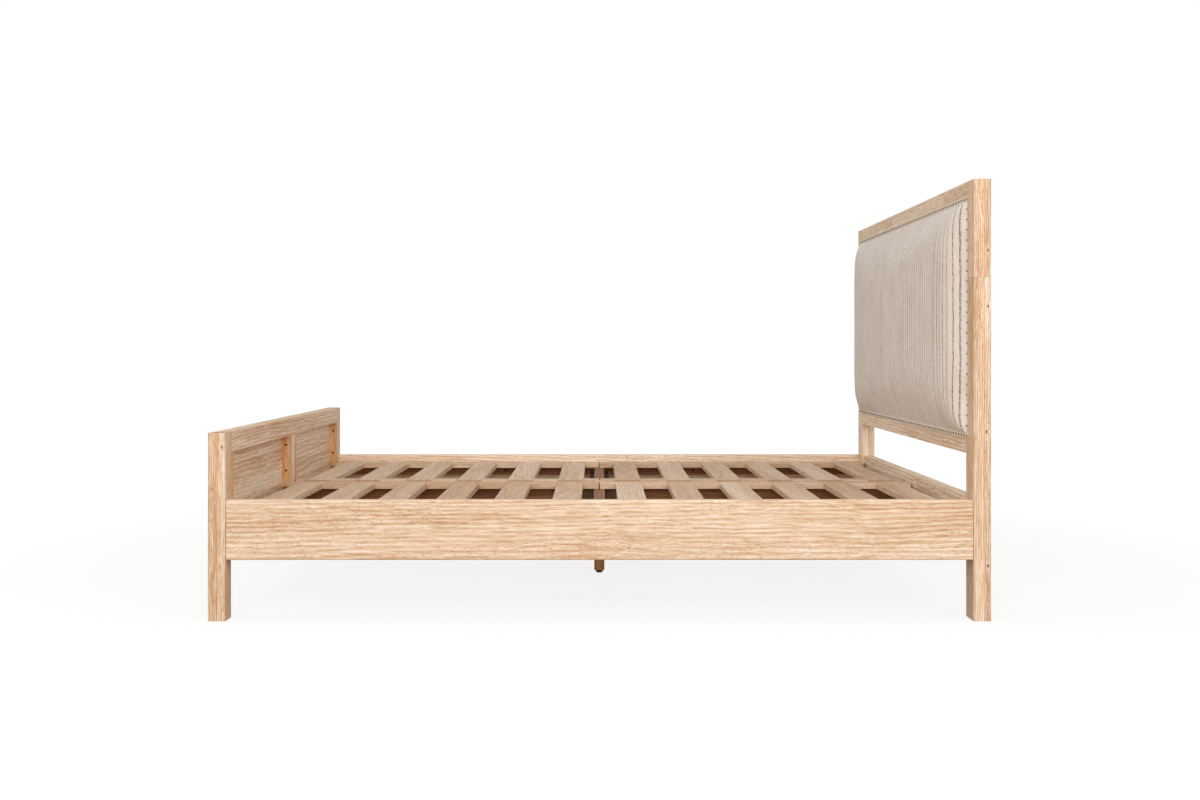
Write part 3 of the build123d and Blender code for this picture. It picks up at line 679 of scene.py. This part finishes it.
def pull_to_nails(obj, inside, middle_y, middle_z, half_width, half_height, board_x):
    """Small puckers near the edge, at the pitch of the nails."""
    points = mesh_points(obj.data)
    y = points[:, 1] - middle_y
    z = points[:, 2] - middle_z
    along_side = np.where(half_width - np.abs(y) < half_height - np.abs(z), z, y)
    wave = 0.5 + 0.5 * np.cos(2 * np.pi * along_side / NAIL_PITCH)
    reach = np.clip((inside - CLOTH_EDGE) / PUCKER_REACH, 0, 1)
    weight = 4 * reach * np.exp(-3 * reach) * (reach > 0)
    depth = np.maximum(board_x - points[:, 0] - CLOTH_THICKNESS, 0)
    points[:, 0] += np.minimum(PUCKER_DEPTH * wave * weight, depth * 0.5)
    set_mesh_points(obj.data, points)


def rounded_route(half_width, half_height, corner, step):
    """Points and outward directions, evenly spaced, round a rectangle with round corners."""
    straight_y = half_width - corner
    straight_z = half_height - corner
    quarter = corner * math.pi / 2
    sides = [(2 * straight_z, (straight_y + corner, -straight_z), (0, 1)),
             (2 * straight_y, (straight_y, straight_z + corner), (-1, 0)),
             (2 * straight_z, (-straight_y - corner, straight_z), (0, -1)),
             (2 * straight_y, (-straight_y, -straight_z - corner), (1, 0))]
    total = sum(length + quarter for length, _, _ in sides)
    count = round(total / step)
    result = []
    for index in range(count):
        distance = total * index / count
        for length, start, heading in sides:
            outward = (heading[1], -heading[0])
            if distance <= length:
                point = (start[0] + heading[0] * distance, start[1] + heading[1] * distance)
                result.append((point, outward))
                break
            distance -= length
            if distance <= quarter:
                angle = distance / corner
                end = (start[0] + heading[0] * length, start[1] + heading[1] * length)
                centre = (end[0] - outward[0] * corner, end[1] - outward[1] * corner)
                turned = (outward[0] * math.cos(angle) + heading[0] * math.sin(angle),
                          outward[1] * math.cos(angle) + heading[1] * math.sin(angle))
                point = (centre[0] + turned[0] * corner, centre[1] + turned[1] * corner)
                result.append((point, turned))
                break
            distance -= quarter
    return result, total


def make_trim(board_x, low, high, material):
    """The plaited tape round the pad: a band of small slanting lobes with a scalloped edge."""
    half_width = (high.y - low.y) / 2
    half_height = (high.z - low.z) / 2
    middle_y = (high.y + low.y) / 2
    middle_z = (high.z + low.z) / 2
    route, total = rounded_route(half_width - TRIM_WIDTH / 2, half_height - TRIM_WIDTH / 2,
                                 max(TRIM_CORNER - TRIM_WIDTH / 2, 0.5 * MM), TRIM_STEP)
    lobes = round(total / TRIM_LOBE)
    across = np.linspace(-1, 1, 11)
    points = []
    weave = []
    faces = []
    for index, ((y, z), (out_y, out_z)) in enumerate(route):
        phase = 2 * math.pi * lobes * index / len(route)
        scallop = 0.93 + 0.07 * math.cos(phase)
        for share in across:
            side = share * TRIM_WIDTH / 2 * scallop
            slant = phase + 2.2 * abs(share) * math.pi
            relief = 0.5 + 0.5 * math.cos(slant)
            groove = 1 - 0.5 * math.exp(-(share / 0.12) ** 2)
            edge = math.sqrt(max(0.0, 1 - abs(share) ** 6))
            height = TRIM_THICKNESS * edge * (0.45 + 0.55 * relief * groove)
            points.append((board_x - CLOTH_THICKNESS - height,
                           middle_y + y + out_y * side, middle_z + z + out_z * side))
            # Third entry: the plait's height, which the braid material turns into painted shade
            weave.append((total * index / len(route), side, relief * groove))
        for share in (1, -1):
            side = share * TRIM_WIDTH / 2 * scallop
            points.append((board_x - 0.3 * MM, middle_y + y + out_y * side, middle_z + z + out_z * side))
            weave.append((total * index / len(route), side, 0.0))
    ring = len(across) + 2
    count = len(route)
    for index in range(count):
        here = index * ring
        there = ((index + 1) % count) * ring
        for k in range(ring):
            after = (k + 1) % ring
            faces.append((here + k, here + after, there + after, there + k))
    return new_object("headboard_trim", points, faces, weave, material)


def make_floor():
    """Floor that the camera sees as white, with a pale shadow near the bed. The light that it
    throws back on the bed is warm: FLOOR_BOUNCE."""
    size = 30.0
    mesh = bpy.data.meshes.new("floor")
    corners = [(-size, -size, 0), (size, -size, 0), (size, size, 0), (-size, size, 0)]
    mesh.from_pydata(corners, [], [(0, 1, 2, 3)])
    floor = bpy.data.objects.new("floor", mesh)
    bpy.context.scene.collection.objects.link(floor)
    graph = Graph("floor_white")
    rays = graph.add("ShaderNodeLightPath")
    seen = graph.math("MAXIMUM", rays.outputs["Is Camera Ray"], rays.outputs["Is Glossy Ray"])
    seen = graph.math("MAXIMUM", seen, rays.outputs["Is Transmission Ray"])
    shader = graph.add("ShaderNodeBsdfDiffuse")
    graph.feed(shader.inputs["Color"], graph.mix(seen, FLOOR_BOUNCE, (0.88, 0.88, 0.88, 1.0)))
    glow = graph.add("ShaderNodeEmission")
    glow.inputs["Color"].default_value = (1, 1, 1, 1)
    glow.inputs["Strength"].default_value = FLOOR_GLOW_STRENGTH
    place = graph.add("ShaderNodeTexCoord").outputs["Object"]
    away = graph.length(place)
    share = graph.smooth(away, *FLOOR_SHADOW_REACH, FLOOR_GLOW, 1.0)
    mixer = graph.add("ShaderNodeMixShader")
    graph.feed(mixer.inputs[0], graph.math("MULTIPLY", seen, share))
    graph.links.new(shader.outputs[0], mixer.inputs[1])
    graph.links.new(glow.outputs[0], mixer.inputs[2])
    output = graph.add("ShaderNodeOutputMaterial")
    graph.links.new(mixer.outputs[0], output.inputs["Surface"])
    mesh.materials.append(graph.material)


def make_world():
    """Soft light from all round, white where the camera sees it."""
    world = bpy.data.worlds.new("studio")
    world.use_nodes = True
    nodes = world.node_tree.nodes
    links = world.node_tree.links
    nodes.clear()
    sky = nodes.new("ShaderNodeBackground")
    sky.inputs["Color"].default_value = (1, 1, 1, 1)
    sky.inputs["Strength"].default_value = SKY_STRENGTH
    white = nodes.new("ShaderNodeBackground")
    white.inputs["Color"].default_value = (1, 1, 1, 1)
    white.inputs["Strength"].default_value = 1.0
    path = nodes.new("ShaderNodeLightPath")
    mixer = nodes.new("ShaderNodeMixShader")
    links.new(path.outputs["Is Camera Ray"], mixer.inputs[0])
    links.new(sky.outputs[0], mixer.inputs[1])
    links.new(white.outputs[0], mixer.inputs[2])
    output = nodes.new("ShaderNodeOutputWorld")
    links.new(mixer.outputs[0], output.inputs["Surface"])
    bpy.context.scene.world = world


def softbox(name, place, aim, width, height, power):
    """A large soft lamp that faces a point."""
    lamp = bpy.data.lights.new(name, "AREA")
    lamp.shape = "RECTANGLE"
    lamp.size = width
    lamp.size_y = height
    lamp.energy = power
    obj = bpy.data.objects.new(name, lamp)
    bpy.context.scene.collection.objects.link(obj)
    obj.location = place
    direction = Vector(aim) - Vector(place)
    obj.rotation_euler = direction.to_track_quat("-Z", "Y").to_euler()


def make_camera():
    """The picture's viewpoint: level, square to the bed's side, with a small shift."""
    low, _ = cad_box
    camera = bpy.data.cameras.new("camera")
    camera.sensor_width = SENSOR_WIDTH
    camera.lens = SENSOR_WIDTH * FOCAL_PIXELS / PICTURE_WIDTH
    camera.shift_x = (PICTURE_WIDTH / 2 - VANISHING_X) / PICTURE_WIDTH
    camera.shift_y = (VANISHING_Y - PICTURE_HEIGHT / 2) / PICTURE_WIDTH
    obj = bpy.data.objects.new("camera", camera)
    bpy.context.scene.collection.objects.link(obj)
    obj.location = (CAMERA_X, low[1] - CAMERA_DISTANCE, CAMERA_HEIGHT)
    obj.rotation_euler = (math.pi / 2, 0, 0)
    bpy.context.scene.camera = obj


make_camera()
make_floor()
make_world()
softbox("front_light", (-0.4, -5.4, 2.3), (0, 0, 0.4), 5.0, 2.6, FRONT_LIGHT)
softbox("top_light", (0.0, 0.0, 4.0), (0, 0, 0), 4.0, 4.0, TOP_LIGHT)
softbox("head_side_light", (-4.5, -1.5, 1.8), (1.0, 0, 0.8), 3.0, 2.5, HEAD_SIDE_LIGHT)
softbox("foot_side_light", (3.0, -4.0, 2.6), (-1.0, 0, 0.4), 2.0, 2.0, FOOT_SIDE_LIGHT)
paint_nodes()

board_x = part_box("pad_foam")[1].x
trim_low, trim_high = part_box("pad_gimp")
cushion = make_cushion(board_x, trim_low, trim_high, striped_cloth("striped_cloth"))
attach(cushion, "frame")
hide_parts("pad_foam", "pad_cover")

trim = make_trim(board_x, trim_low, trim_high, braid("trim_tape"))
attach(trim, "frame")
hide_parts("pad_gimp")

scene = bpy.context.scene
scene.view_settings.view_transform = "Standard"
